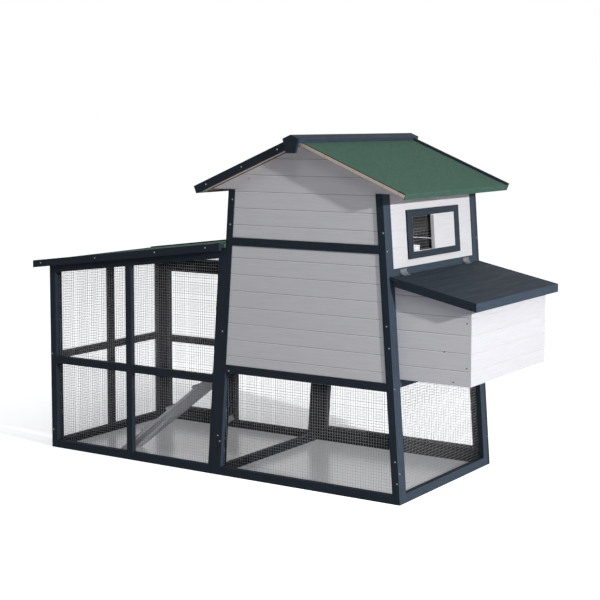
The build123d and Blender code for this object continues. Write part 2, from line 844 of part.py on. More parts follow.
# Run door in the back of the run, with its stop block
run_door_x0 = run_inside + door_gap
run_door_x1 = middle_low - door_gap
run_door_z0 = bottom_rail_height + door_gap
run_door_z1 = header_low - door_gap
door_inner_x0 = run_door_x0 + batten_width
door_inner_x1 = run_door_x1 - batten_width
run_door_rails = (
    (run_door_z0, run_door_z0 + batten_width),
    (run_mid_rail_low, run_mid_rail_top),
    (run_door_z1 - batten_width, run_door_z1),
)
run_door = [
    block(run_door_x0, door_inner_x0, back_inner, house_depth, run_door_z0, run_door_z1),
    block(door_inner_x1, run_door_x1, back_inner, house_depth, run_door_z0, run_door_z1),
]
for z0, z1 in run_door_rails:
    run_door.append(block(door_inner_x0, door_inner_x1, back_inner, house_depth, z0, z1))
save_list["run_door_frame"] = run_door
door_net_low = run_door_z0 + batten_width - net_lap
door_net_high = run_door_z1 - batten_width + net_lap
door_net_outline = [
    (door_inner_x0 - net_lap, door_net_low),
    (door_inner_x1 + net_lap, door_net_low),
    (door_inner_x1 + net_lap, door_net_high),
    (door_inner_x0 - net_lap, door_net_high),
]
save_list["run_door_net"] = [upright_net(door_net_outline, back_net_y)]
stop_place = Pos(middle_low, back_inner - stop_thickness / 2, stop_height) * Rot(0, stop_tilt, 0)
save_list["run_door_stop"] = [stop_place * Box(stop_length, stop_thickness, stop_width)]

# Door in the back bay under the house
under_low = bottom_rail_height + door_gap
under_high = floor_rail_low - door_gap
under_outer = batten_width + door_gap
under_inner = under_outer + batten_width
under_door = [
    lean_bar(side, back_inner, house_depth, under_low, under_high, under_outer, under_inner)
    for side in (LEFT, RIGHT)
]
for z0, z1 in ((under_low, under_low + batten_width), (under_high - batten_width, under_high)):
    under_door.append(prism_y(between_posts(z0, z1, under_inner), back_inner, house_depth))
save_list["under_door_frame"] = under_door
under_net_low = under_low + batten_width - net_lap
under_net_high = under_high - batten_width + net_lap
under_net_outline = between_posts(under_net_low, under_net_high, under_inner - net_lap)
save_list["under_door_net"] = [upright_net(under_net_outline, back_net_y)]

# House door in the back wall
door_x0 = door_left + door_gap
door_x1 = door_right - door_gap
door_z0 = floor_rail_top + door_gap
door_z1 = mid_rail_low - door_gap
door_outline = [(door_x0, door_z0), (door_x1, door_z0), (door_x1, door_z1), (door_x0, door_z1)]
hole_high = door_z1 - hand_hole_drop
hole_x = door_x1 - hand_hole_from_edge
hand_hole = block(
    hole_x - hand_hole_width / 2,
    hole_x + hand_hole_width / 2,
    back_inner,
    house_depth,
    hole_high - hand_hole_height,
    hole_high,
)
door_ledgers = (door_z0 + door_ledger_from_end, door_z1 - door_ledger_from_end)
house_door = [board - hand_hole for board in boards_along_x(door_outline, back_face, back_inner)]
for z in door_ledgers:
    half = door_ledger_height / 2
    house_door.append(block(door_x0, door_x1, back_face, house_depth, z - half, z + half))
save_list["house_door"] = house_door

# Pop door, open beside its hole, in two runners on the inside of the left wall
pop_inset = batten_depth + pop_door_clearance
pop_inner = pop_inset + pop_door_thickness
pop_lip = pop_inner + pop_door_clearance
pop_lip_inner = pop_lip + pop_runner_lip
pop_low_web = floor_top + pop_runner_web
pop_low_lip = pop_low_web + pop_runner_depth
pop_high_lip = pop_hole_top + pop_door_lap
pop_high_web = pop_high_lip + pop_runner_depth
pop_door_width = pop_hole_width + 2 * pop_door_lap
pop_closed = side_front - pop_door_lap
pop_open = pop_hole_end + pop_door_lap
runner_front = pop_closed - pop_runner_end_margin
pop_end = pop_open + pop_door_width
runner_back = pop_end + pop_runner_end_margin


def pop_runner(web_low, web_high, lip_low, lip_high):
    web = lean_bar(LEFT, runner_front, runner_back, web_low, web_high, batten_depth, pop_lip_inner)
    return web + lean_bar(LEFT, runner_front, runner_back, lip_low, lip_high, pop_lip, pop_lip_inner)


save_list["pop_door_runners"] = [
    pop_runner(floor_top, pop_low_web, pop_low_web, pop_low_lip),
    pop_runner(pop_high_web, pop_high_web + pop_runner_web, pop_high_lip, pop_high_web),
]
pop_door_low = pop_low_web + pop_door_clearance
pop_door_high = pop_high_web - pop_door_clearance
pop_middle = (pop_door_low + pop_door_high) / 2
pop_panel = lean_bar(LEFT, pop_open, pop_end, pop_door_low, pop_door_high, pop_inset, pop_inner)
pop_pull = lean_bar(
    LEFT,
    pop_open + pop_pull_width,
    pop_open + 2 * pop_pull_width,
    pop_middle - pop_pull_height / 2,
    pop_middle + pop_pull_height / 2,
    pop_inner,
    pop_inner + pop_pull_depth,
)
save_list["pop_door"] = [pop_panel, pop_pull]

# Ramp, hinged on the floor rail below the pop hole
ramp_sin = sin(radians(ramp_pitch))
ramp_cos = cos(radians(ramp_pitch))
ramp_axis_z = floor_top - ramp_hinge_drop
ramp_axis_x = wall_x(LEFT, ramp_axis_z) - knuckle_radius / lean_cos
ramp_under = knuckle_radius
ramp_top = ramp_under + ramp_thickness
ramp_middle = side_front + pop_hole_width / 2
ramp_front = ramp_middle - ramp_width / 2
ramp_back = ramp_middle + ramp_width / 2


def ramp_point(along, above):
    """Point down the ramp from its hinge axis, above the plane through the axis."""
    x = ramp_axis_x - along * ramp_cos - above * ramp_sin
    return x, ramp_axis_z - along * ramp_sin + above * ramp_cos


def ramp_foot(above):
    """Distance down the ramp at which it reaches the ground."""
    return (ramp_axis_z + above * ramp_cos - ramp_ground_gap) / ramp_sin


def ramp_bar(start, under_end, top_end, under, top):
    corners = [(start, under), (under_end, under), (top_end, top), (start, top)]
    return prism_y([ramp_point(along, above) for along, above in corners], ramp_front, ramp_back)


ramp = [ramp_bar(ramp_end_gap, ramp_foot(ramp_under), ramp_foot(ramp_top), ramp_under, ramp_top)]
cleat = cleat_first
while cleat < ramp_foot(ramp_top) - cleat_end_margin:
    cleat_end = cleat + cleat_width
    ramp.append(ramp_bar(cleat, cleat_end, cleat_end, ramp_top, ramp_top + cleat_height))
    cleat += cleat_pitch
save_list["ramp"] = ramp

# Perch in two open brackets
perch_place = Pos(perch_from_left, house_depth / 2, perch_height) * Rot(90, 0, 0)
perch_length = back_inner - batten_depth - 2 * perch_clearance
notch = perch_place * Cylinder(perch_radius + perch_clearance, house_depth)
notch_half = perch_radius + perch_clearance
bracket_low_x = perch_from_left - perch_bracket_size / 2
bracket_high_x = perch_from_left + perch_bracket_size / 2
bracket_top = perch_height + perch_radius
bracket_low = perch_height - perch_radius - perch_bracket_web
notch += block(
    perch_from_left - notch_half,
    perch_from_left + notch_half,
    0,
    house_depth,
    perch_height,
    bracket_top,
)


def perch_bracket(y0, y1):
    return block(bracket_low_x, bracket_high_x, y0, y1, bracket_low, bracket_top) - notch


save_list["perch"] = [
    perch_place * Cylinder(perch_radius, perch_length),
    perch_bracket(front_back, batten_depth + perch_bracket_thickness),
    perch_bracket(back_inner - perch_bracket_thickness, back_inner),
]

# Hinges
AT_FRONT = (0, -1, 0)
ALONG_Y = (0, 1, 0)
UP = (0, 0, 1)
hinge_y = house_depth + knuckle_radius


def lid_hinge(y):
    wall_up = (-lean_sin, 0, lean_cos)
    wall_in = (-lean_cos, 0, -lean_sin)
    lid_out = (lid_cos, 0, -lid_sin)
    lid_down = (-lid_sin, 0, -lid_cos)
    return Hinge((lid_axis_x, y, lid_axis_z), ALONG_Y, wall_up, wall_in, lid_out, lid_down)


def door_hinge(x, z):
    return Hinge((x, hinge_y, z), UP, (-1, 0, 0), AT_FRONT, (1, 0, 0), AT_FRONT)


def under_hinge(z):
    x = wall_x(LEFT, z, batten_width + door_gap / 2)
    axis = (lean_sin, 0, lean_cos)
    post_out = (-lean_cos, 0, lean_sin)
    door_out = (lean_cos, 0, -lean_sin)
    return Hinge((x, hinge_y, z), axis, post_out, AT_FRONT, door_out, AT_FRONT)


def ramp_hinge(y):
    wall_up = (lean_sin, 0, lean_cos)
    wall_in = (lean_cos, 0, -lean_sin)
    ramp_out = (-ramp_cos, 0, -ramp_sin)
    ramp_up = (-ramp_sin, 0, ramp_cos)
    return Hinge((ramp_axis_x, y, ramp_axis_z), ALONG_Y, wall_up, wall_in, ramp_out, ramp_up)


run_hinge_x = run_inside + door_gap / 2
house_hinge_x = door_left + door_gap / 2
lid_hinge_places = (side_front + lid_hinge_from_end, side_back - lid_hinge_from_end)
run_hinge_places = (run_door_z0 + door_hinge_from_end, run_door_z1 - door_hinge_from_end)
under_hinge_places = (under_low + door_hinge_from_end, under_high - door_hinge_from_end)
hinges = {
    "nest_lid": [lid_hinge(y) for y in lid_hinge_places],
    "run_door": [door_hinge(run_hinge_x, z) for z in run_hinge_places],
    "house_door": [door_hinge(house_hinge_x, z) for z in door_ledgers],
    "under_door": [under_hinge(z) for z in under_hinge_places],
    "ramp": [ramp_hinge(ramp_middle + side * ramp_hinge_spacing / 2) for side in (-1, 1)],
}
for owner, pair in hinges.items():
    save_list[f"{owner}_hinge_leaves"] = [hinge.moving for hinge in pair]
save_list["hinge_fixed_leaves"] = [hinge.fixed for pair in hinges.values() for hinge in pair]
save_list["hinge_pins"] = [hinge.pin for pair in hinges.values() for hinge in pair]

# Turn buttons
button_places = {
    "house_door_button": (door_right + batten_width / 2, house_button_height),
    "run_door_button": (run_middle, run_button_height),
    "under_door_button": (wall_x(RIGHT, under_button_height, batten_width / 2), under_button_height),
}
save_list["button_screws"] = []
for node, place in button_places.items():
    button, screw = turn_button(*place)
    save_list[node] = [button]
    save_list["button_screws"].append(screw)

os.makedirs("parts", exist_ok=True)
for node, pieces in save_list.items():
    save(node, *pieces)

# Axes and travels of the moving pieces, in the coop's own frame
shift_x = -(coop_low_x + coop_high_x) / 2
shift_y = -house_depth / 2
print("nodes", len(save_list))
print("nest_lid axis x z", lid_axis_x + shift_x, lid_axis_z)
print("ramp axis x z", ramp_axis_x + shift_x, ramp_axis_z)
print("run_door axis x y", run_hinge_x + shift_x, hinge_y + shift_y)
print("house_door axis x y", house_hinge_x + shift_x, hinge_y + shift_y)
print("under_door axis foot x y", wall_x(LEFT, 0, batten_width + door_gap / 2) + shift_x, hinge_y + shift_y)
print("shutter travel", shutter_start - window_low)
print("pop door travel", pop_open - pop_closed)
for node, place in button_places.items():
    print(node, place[0] + shift_x, place[1])
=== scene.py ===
import math
import random

import bmesh
import bpy
from mathutils import Matrix, Vector
from mathutils.geometry import convex_hull_2d


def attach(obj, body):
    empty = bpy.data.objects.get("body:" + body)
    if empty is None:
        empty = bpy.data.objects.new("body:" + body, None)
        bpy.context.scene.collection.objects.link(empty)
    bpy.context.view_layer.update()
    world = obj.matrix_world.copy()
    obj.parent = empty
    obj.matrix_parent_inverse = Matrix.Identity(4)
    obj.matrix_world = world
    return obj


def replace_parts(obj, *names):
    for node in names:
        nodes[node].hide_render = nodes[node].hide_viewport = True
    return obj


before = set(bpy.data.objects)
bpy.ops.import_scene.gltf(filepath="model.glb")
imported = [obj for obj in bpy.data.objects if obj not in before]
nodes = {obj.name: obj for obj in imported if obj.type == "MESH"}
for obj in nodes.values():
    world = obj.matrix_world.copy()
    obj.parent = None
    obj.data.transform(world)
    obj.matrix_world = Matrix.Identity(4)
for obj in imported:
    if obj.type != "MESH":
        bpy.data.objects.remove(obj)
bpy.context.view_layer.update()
chance = random.Random(7)

# Sizes of the coop that the added pieces follow, in millimetres.
# Places are measured from the front left corner of the house on the ground.
HOUSE_LENGTH = 957
HOUSE_DEPTH = 855
BATTEN = 34
POST_HALF = 17.5
BOARD_PITCH = 73
BOARD_DATUM = 1276
BOARDS_BEHIND_FRAME = 4
ROOF_PLANK = 70
NEST_DATUM = 576
NEST_INSET = 58
RIDGE_X = 478.5
RIDGE_HEIGHT = 1507
ROOF_ANGLE = math.radians(22.6)
ROOF_SLOPE = 567
ROOF_OVERHANG = 52
ROOF_LAYERS = 16
EAVE_DROP = 23
FELT_OUT = 2.2
END_CAP_IN = 11.6
# Width of the painted shade line under the roof boards on the gables
GABLE_SHADE_WIDTH = 6
BARGE_THICKNESS = 18
RUN_LENGTH = 980
RUN_MIDDLE = -490
RUN_EAVE = 899
RUN_ANGLE = math.radians(7)
RUN_ROOF_START = -1061
RUN_ROOF_SIDE = 12
FASCIA_END = 58
RUN_WALL_X = 73
LEAN_ANGLE = math.radians(4)
LEAN = math.tan(LEAN_ANGLE)
RAMP_ANGLE = math.radians(37.4)
LID_ANGLE = math.radians(12)

# The frame's origin, in metres from the same corner
ORIGIN = (0.1135, 0.4275)

# Sizes of the fixings, in metres, and radii where nothing else is said
MESH_PITCH = 0.0127
WIRE = 0.00055
WIRE_DRIFT = 0.0002
SHORTEST_WIRE = 0.006
STAPLE = 0.0006
STAPLE_HALF = 0.0048
STAPLE_INSET = 0.004
STAPLE_SPACING = 0.085
FRAME_SCREW = 0.0033
LEAF_SCREW = 0.0027
NEST_NAIL = 0.0032
GABLE_NAIL = 0.0022
LEAF_THICKNESS = 0.002


def at(x, y, z):
    """Point in the model's frame, in metres, of a place on the coop in millimetres."""
    return Vector((x / 1000 - ORIGIN[0], y / 1000 - ORIGIN[1], z / 1000))


class Material:
    """A node material under construction."""

    def __init__(self, name):
        self.made = bpy.data.materials.new(name)
        self.made.use_nodes = True
        self.tree = self.made.node_tree
        self.shader = self.tree.nodes["Principled BSDF"]
        self.place = self.add("ShaderNodeTexCoord", output="Object")

    def add(self, kind, inputs=None, output=0, **settings):
        node = self.tree.nodes.new(kind)
        for name, value in settings.items():
            setattr(node, name, value)
        for socket, value in (inputs or {}).items():
            self.put(node.inputs[socket], value)
        return node.outputs[output]

    def put(self, socket, value):
        if isinstance(value, bpy.types.NodeSocket):
            self.tree.links.new(value, socket)
        else:
            socket.default_value = value

    def set(self, **values):
        for name, value in values.items():
            self.put(self.shader.inputs[name.replace("_", " ")], value)

    def math(self, operation, first, second=0.0):
        return self.add("ShaderNodeMath", {0: first, 1: second}, operation=operation)

    def part(self, place, axis):
        return self.add("ShaderNodeSeparateXYZ", {0: place}, output=axis)

    def stretch(self, place, factors):
        return self.add("ShaderNodeVectorMath", {0: place, 1: factors}, operation="MULTIPLY")

    def dot(self, first, second):
        values = {0: first, 1: second}
        return self.add("ShaderNodeVectorMath", values, output="Value", operation="DOT_PRODUCT")

    def noise(self, place, scale, detail=3.0, roughness=0.5):
        values = {"Vector": place, "Scale": scale, "Detail": detail, "Roughness": roughness}
        return self.add("ShaderNodeTexNoise", values)

    def cells(self, place, scale, output="Distance", feature="F1"):
        values = {"Vector": place, "Scale": scale}
        return self.add("ShaderNodeTexVoronoi", values, output=output, feature=feature)

    def ramp(self, factor, stops):
        node = self.tree.nodes.new("ShaderNodeValToRGB")
        self.put(node.inputs[0], factor)
        elements = node.color_ramp.elements
        while len(elements) < len(stops):
            elements.new(0.5)
        for element, (position, tone) in zip(elements, stops):
            element.position = position
            element.color = (*tone, 1.0) if isinstance(tone, tuple) else (tone, tone, tone, 1.0)
        return node.outputs[0]

    def mix(self, factor, first, second, blend="MIX"):
        node = self.tree.nodes.new("ShaderNodeMix")
        node.data_type = "RGBA"
        node.blend_type = blend
        for index, value in ((0, factor), (6, first), (7, second)):
            self.put(node.inputs[index], (*value, 1.0) if isinstance(value, tuple) else value)
        return node.outputs[2]

    def mix_vector(self, factor, first, second):
        node = self.tree.nodes.new("ShaderNodeMix")
        node.data_type = "VECTOR"
        for index, value in ((0, factor), (4, first), (5, second)):
            self.put(node.inputs[index], value)
        return node.outputs[1]

    def bump(self, height, distance, strength, normal=None):
        values = {"Height": height, "Distance": distance, "Strength": strength}
        if normal is not None:
            values["Normal"] = normal
        return self.add("ShaderNodeBump", values, output="Normal")

    def rounded(self, radius):
        """Normal of softly rounded edges, and how near an edge the point is."""
        soft = self.add("ShaderNodeBevel", {"Radius": radius}, samples=4)
        flat = self.add("ShaderNodeNewGeometry", output="Normal")
        return soft, self.math("SUBTRACT", 1.0, self.dot(soft, flat))

    def worn(self, edge, scale, detail, strength, most):
        """How far the finish is rubbed off an edge, in patches."""
        patches = self.math("MULTIPLY", self.noise(self.place, scale, detail), strength)
        return self.math("MINIMUM", self.math("MULTIPLY", edge, patches), most)

    def row_tone(self, coordinate, datum, pitch):
        """A random number for each board of a wall, from its place across the boards."""
        shifted = self.math("SUBTRACT", coordinate, datum)
        row = self.math("FLOOR", self.math("DIVIDE", shifted, pitch))
        return self.add("ShaderNodeTexWhiteNoise", {"W": row}, noise_dimensions="1D")

    def grain_place(self, along, uprights=()):
        """Coordinates stretched along the grain, which turns upright inside the given posts."""
        share = 0.05
        factors = {"X": (share, 1, 1), "Y": (1, share, 1), "Z": (1, 1, share)}
        if along == "RAMP":
            turned = self.add(
                "ShaderNodeVectorRotate",
                {"Vector": self.place, "Angle": RAMP_ANGLE},
                rotation_type="Y_AXIS",
            )
            return self.stretch(turned, factors["X"])
        place = self.stretch(self.place, factors[along])
        for axis, middle, half, lean in uprights:
            across = self.part(self.place, axis)
            if lean:
                leaning = self.math("MULTIPLY", self.part(self.place, "Z"), lean)
                across = self.math("SUBTRACT", across, leaning)
            off = self.math("ABSOLUTE", self.math("SUBTRACT", across, middle))
            inside = self.math("LESS_THAN", off, half)
            place = self.mix_vector(inside, place, self.stretch(self.place, factors["Z"]))
        return place


def slope_distance(material):
    """Distance across the roof from the ridge line."""
    off = material.math("SUBTRACT", material.part(material.place, "X"), at(RIDGE_X, 0, 0).x)
    return material.math("ABSOLUTE", off)


def run_distance(material):
    """Distance along the run roof, from a line beyond its low end."""
    return material.math("ADD", material.part(material.place, "X"), 3.0)


def dark_trim(name, along, uprights=(), sheen_share=1.0, inside=None):
    """Dark blue grey stain on planed battens, paler on their right sides and worn on the edges.

    The paler right sides are a painted sheen where the lamp falls, and the sides that face inside
    get a painted shade, nearly black.
    """
    paint = Material(name)
    grain = paint.grain_place(along, uprights)
    streaks = paint.noise(grain, 260, 6, 0.6)
    brush = paint.noise(grain, 60, 3)
    clouds = paint.noise(paint.place, 9, 3)
    tone = paint.ramp(streaks, ((0.3, (0.020, 0.027, 0.036)), (0.7, (0.034, 0.045, 0.060))))
    tone = paint.mix(paint.math("MULTIPLY", clouds, 0.5), tone, (0.025, 0.034, 0.046))
    facing = paint.add("ShaderNodeTexCoord", output="Normal")
    # Painted sheen: the right sides, where the lamp falls, get a paler tone
    painted_sheen = paint.ramp(paint.part(facing, "X"), ((0.1, 0.0), (0.9, sheen_share)))
    pale = paint.ramp(streaks, ((0.3, (0.044, 0.062, 0.086)), (0.7, (0.068, 0.093, 0.128))))
    tone = paint.mix(painted_sheen, tone, pale)
    if inside:
        # Painted shade: the sides that face inside are turned nearly black
        inward = paint.ramp(paint.dot(facing, inside), ((0.3, 0.0), (0.7, 0.7)))
        tone = paint.mix(inward, tone, (0.003, 0.004, 0.005))
    soft, edge = paint.rounded(0.0016)
    tone = paint.mix(paint.worn(edge, 45, 4, 3.0, 0.55), tone, (0.10, 0.125, 0.14))
    height = paint.math("ADD", streaks, brush)
    roughness = paint.ramp(brush, ((0.3, 0.54), (0.7, 0.70)))
    normal = paint.bump(height, 0.0005, 0.22, soft)
    paint.set(Base_Color=tone, Roughness=roughness, Normal=normal, Specular_IOR_Level=0.05)
    return paint.made


def white_paint(name, along, datum=BOARD_DATUM, inside=None, joints=False, gap_shade_line=False):
    """Off-white stain on tongue and groove boards, with grain and knots showing faintly through.

    The side that faces inside is bare wood, darkened further as painted shade. Joints get a dark
    line, partly dirt and partly painted shade, and a painted highlight on the top edge of the board
    below, and a gable gets a painted shade line under the roof boards.
    """
    paint = Material(name)
    grain = paint.grain_place(along)
    streaks = paint.noise(grain, 190, 7, 0.62)
    broad = paint.noise(grain, 28, 3)
    tone = paint.ramp(streaks, ((0.25, (0.73, 0.725, 0.75)), (0.75, (0.83, 0.83, 0.86))))
    height = paint.part(paint.place, "Z")
    row = paint.row_tone(height, datum / 1000, BOARD_PITCH / 1000)
    tone = paint.mix(paint.math("MULTIPLY", row, 0.30), tone, (0.72, 0.715, 0.735))
    tone = paint.mix(paint.math("MULTIPLY", broad, 0.25), tone, (0.78, 0.77, 0.755))
    knot = paint.cells(paint.stretch(grain, (3.0, 3.0, 3.0)), 4.0)
    knot = paint.ramp(knot, ((0.02, 0.32), (0.07, 0.0)))
    tone = paint.mix(knot, tone, (0.58, 0.50, 0.42))
    soft, edge = paint.rounded(0.0012)
    tone = paint.mix(paint.worn(edge, 60, 3, 1.2, 0.35), tone, (0.60, 0.57, 0.53))
    if joints:
        # A dark line in the groove, partly dirt and partly painted shade, and a painted highlight
        # on the top edge of the board below
        above = paint.math("SUBTRACT", height, datum / 1000)
        above = paint.math("FRACT", paint.math("DIVIDE", above, BOARD_PITCH / 1000))
        shade = paint.math("LESS_THAN", above, 2.0 / BOARD_PITCH)
        light = paint.math("GREATER_THAN", above, 1 - 2.5 / BOARD_PITCH)
        tone = paint.mix(shade, tone, (0.34, 0.33, 0.34))
        tone = paint.mix(light, tone, (0.90, 0.90, 0.92))
    if gap_shade_line:
        # Painted shade: a dark line on the gable boards just under the roof boards
        drop = paint.math("MULTIPLY", slope_distance(paint), math.tan(ROOF_ANGLE))
        shade_top = RIDGE_HEIGHT - ROOF_LAYERS / math.cos(ROOF_ANGLE)
        painted_gap_shade = paint.math("ADD", height, drop)
        painted_gap_shade = paint.math("GREATER_THAN", painted_gap_shade, (shade_top - GABLE_SHADE_WIDTH) / 1000)
        tone = paint.mix(painted_gap_shade, tone, (0.22, 0.21, 0.21))
    if inside:
        # Bare wood on the side that faces inside, darkened further as painted shade
        inward = paint.dot(paint.add("ShaderNodeTexCoord", output="Normal"), inside)
        bare_and_shaded = paint.ramp(streaks, ((0.3, (0.26, 0.20, 0.15)), (0.7, (0.36, 0.29, 0.22))))
        tone = paint.mix(paint.math("GREATER_THAN", inward, 0.5), tone, bare_and_shaded)
    roughness = paint.ramp(broad, ((0.3, 0.52), (0.7, 0.68)))
    normal = paint.bump(streaks, 0.0006, 0.22, soft)
    paint.set(Base_Color=tone, Roughness=roughness, Normal=normal)
    paint.set(Specular_IOR_Level=0.3, Diffuse_Roughness=1.0)
    return paint.made


def bare_pine(name, along, plank_coordinate=None):
    """Bare pine with growth rings, pores and knots, in planks if a coordinate across is given."""
    pine = Material(name)
    grain = pine.grain_place(along)
    warp = pine.noise(grain, 14, 3)
    bent = pine.add("ShaderNodeVectorMath", {0: grain, 1: warp}, operation="ADD")
    rings = pine.noise(bent, 120, 2, 0.4)
    pores = pine.noise(grain, 420, 6, 0.65)
    stops = ((0.36, (0.62, 0.49, 0.36)), (0.5, (0.76, 0.65, 0.52)), (0.68, (0.82, 0.73, 0.61)))
    tone = pine.ramp(rings, stops)
    tone = pine.mix(pine.math("MULTIPLY", pores, 0.35), tone, (0.69, 0.57, 0.45))
    knot = pine.cells(pine.stretch(grain, (2.0, 2.0, 2.0)), 5.0)
    knot = pine.ramp(knot, ((0.03, 0.85), (0.10, 0.0)))
    tone = pine.mix(knot, tone, (0.27, 0.15, 0.08))
    height = pores
    if plank_coordinate:
        across = plank_coordinate(pine)
        plank = pine.row_tone(across, 0.0, ROOF_PLANK / 1000)
        tone = pine.mix(pine.math("MULTIPLY", plank, 0.45), tone, (0.78, 0.60, 0.52))
        joint = pine.math("FRACT", pine.math("DIVIDE", across, ROOF_PLANK / 1000))
        joint = pine.math("LESS_THAN", joint, 0.03)
        tone = pine.mix(pine.math("MULTIPLY", joint, 0.6), tone, (0.30, 0.20, 0.13))
        height = pine.math("SUBTRACT", pores, pine.math("MULTIPLY", joint, 2.0))
    soft = pine.rounded(0.001)[0]
    normal = pine.bump(height, 0.0006, 0.3, soft)
    pine.set(Base_Color=tone, Roughness=0.68, Normal=normal, Specular_IOR_Level=0.3)
    return pine.made


def green_felt(name, cut=True):
    """Mineral felt: green granules with a few pale and dark ones, and bitumen on its cut sides."""
    felt = Material(name)
    granule = felt.cells(felt.place, 620, output="Color")
    pick = felt.part(granule, "X")
    stops = (
        (0.0, (0.028, 0.058, 0.044)),
        (0.30, (0.045, 0.108, 0.078)),
        (0.72, (0.065, 0.147, 0.106)),
        (0.93, (0.098, 0.197, 0.148)),
        (0.985, (0.30, 0.40, 0.34)),
    )
    tone = felt.ramp(pick, stops)
    patches = felt.noise(felt.place, 7, 4, 0.6)
    tone = felt.mix(felt.math("MULTIPLY", patches, 0.5), tone, (0.056, 0.132, 0.096))
    drift = felt.noise(felt.stretch(felt.place, (1.0, 0.35, 1.0)), 2.2, 2)
    tone = felt.mix(felt.ramp(drift, ((0.35, 0.0), (0.75, 0.28))), tone, (0.083, 0.157, 0.130))
    if cut:
        sideways = felt.part(felt.add("ShaderNodeTexCoord", output="Normal"), "Y")
        cut_edge = felt.math("GREATER_THAN", felt.math("ABSOLUTE", sideways), 0.7)
        tone = felt.mix(cut_edge, tone, (0.030, 0.022, 0.018))
    lump = felt.cells(felt.place, 620)
    wave = felt.noise(felt.place, 11, 2)
    height = felt.math("ADD", felt.math("MULTIPLY", lump, -0.7), felt.math("MULTIPLY", wave, 1.6))
    normal = felt.bump(height, 0.0012, 0.55)
    felt.set(Base_Color=tone, Roughness=0.93, Normal=normal, Specular_IOR_Level=0.25)
    return felt.made


def zinc(name, shade, metal, roughness):
    """Zinc coated steel with a faint spangle and dull patches."""
    coat = Material(name)
    spangle = coat.part(coat.cells(coat.place, 210, output="Color"), "X")
    dull = coat.noise(coat.place, 120, 4)
    low = tuple(0.82 * tone for tone in shade)
    tone = coat.ramp(spangle, ((0.0, low), (1.0, shade)))
    tone = coat.mix(coat.math("MULTIPLY", dull, 0.4), tone, tuple(0.7 * tone for tone in shade))
    rough = coat.ramp(dull, ((0.3, roughness - 0.08), (0.7, roughness + 0.12)))
    coat.set(Base_Color=tone, Roughness=rough, Metallic=metal)
    return coat.made


def finish_node(node, material):
    """Give a carried-over node its material."""
    slots = nodes[node].data.materials
    slots.clear()
    slots.append(material)


# Uprights of the frames, whose grain runs up: the middle and half the width in millimetres
def post(middle, lean=0.0, half=POST_HALF):
    return "X", at(middle, 0, 0).x, half / 1000, lean


def stile(middle, half=POST_HALF):
    return "Y", at(0, middle, 0).y, half / 1000, 0.0


house_posts = (post(BATTEN / 2, LEAN), post(HOUSE_LENGTH - BATTEN / 2, -LEAN))
side_stiles = (stile(41), stile(814))
run_posts = (post(BATTEN / 2 - RUN_LENGTH), post(RUN_MIDDLE), post(-BATTEN / 2, LEAN))
trim_layout = {
    "house_front_frame": ("X", house_posts),
    "house_back_frame": ("X", house_posts + (post(261.5), post(695.5))),
    "house_left_frame": ("Y", side_stiles),
    "house_right_frame": ("Y", side_stiles),
    "run_front_frame": ("X", run_posts),
    "run_back_frame": ("X", run_posts),
    "run_left_frame": ("Y", side_stiles + (stile(427.5),)),
    "run_door_frame": ("X", (post(-926), post(-527))),
    "under_door_frame": ("X", (post(54, LEAN), post(HOUSE_LENGTH - 54, -LEAN))),
    "window_frame": ("Y", (stile(211, 21.5), stile(644, 21.5))),
    "barge_boards": ("X", ()),
    "ridge_cap": ("Y", ()),
    "ridge_end_plates": ("Z", ()),
    "run_roof_fascias": ("X", ()),
    "nest_lid": ("Y", ()),
    "house_door_button": ("Z", ()),
    "run_door_button": ("Z", ()),
    "under_door_button": ("Z", ()),
}
# Trim that gets the full painted sheen on its right sides; the rest gets less of it
full_sheen_trim = ("house_front_frame", "house_right_frame", "nest_lid", "ridge_cap")
# Frames whose sides that face inside get painted shade
shaded_inner_sides = {"house_left_frame": (1, 0, 0), "run_left_frame": (1, 0, 0)}
for node in ("house_back_frame", "run_back_frame", "run_door_frame", "under_door_frame"):
    shaded_inner_sides[node] = (0, -1, 0)
for node, (along, uprights) in trim_layout.items():
    sheen_share = 1.0 if node in full_sheen_trim else 0.4
    trim = dark_trim(f"trim_{node}", along, uprights, sheen_share, shaded_inner_sides.get(node))
    finish_node(node, trim)

white_front = white_paint("white_front", "X", inside=(0, 1, 0), joints=True, gap_shade_line=True)
white_back = white_paint("white_back", "X", inside=(0, -1, 0), joints=True, gap_shade_line=True)
white_plain = white_paint("white_plain", "Y")
white_layout = {
    "front_wall_boards": white_front,
    "back_wall_boards": white_back,
    "front_gable_boards": white_front,
    "back_gable_boards": white_back,
    "house_door": white_back,
    "left_wall_boards": white_paint("white_left", "Y", inside=(1, 0, 0)),
    "right_wall_boards": white_paint("white_right", "Y", inside=(-1, 0, 0)),
    "pop_door": white_plain,
    "window_shutter": white_plain,
    "nest_sides": white_paint("white_nest_sides", "X", NEST_DATUM, joints=True),
    "nest_outer_wall": white_paint("white_nest_wall", "Y", NEST_DATUM),
    "ramp": white_paint("white_ramp", "RAMP"),
    "run_door_stop": white_plain,
}
for node, material in white_layout.items():
    finish_node(node, material)

pine_y = bare_pine("pine_along_y", "Y")
pine_x = bare_pine("pine_along_x", "X")
pine_roof = bare_pine("pine_roof", "Y", slope_distance)
pine_layout = {
    "roof_board_left": pine_roof,
    "roof_board_right": pine_roof,
    "run_roof_board": bare_pine("pine_run_roof", "Y", run_distance),
    "floor_bearers": pine_x,
    "house_floor": pine_y,
    "nest_floor": pine_y,
    "nest_partition": pine_x,
    "perch": pine_y,
    "pop_door_runners": pine_y,
}
for node, material in pine_layout.items():
    finish_node(node, material)

felt = green_felt("green_felt")
for node in ("roof_felt_left", "roof_felt_right", "run_roof_felt"):
    finish_node(node, felt)

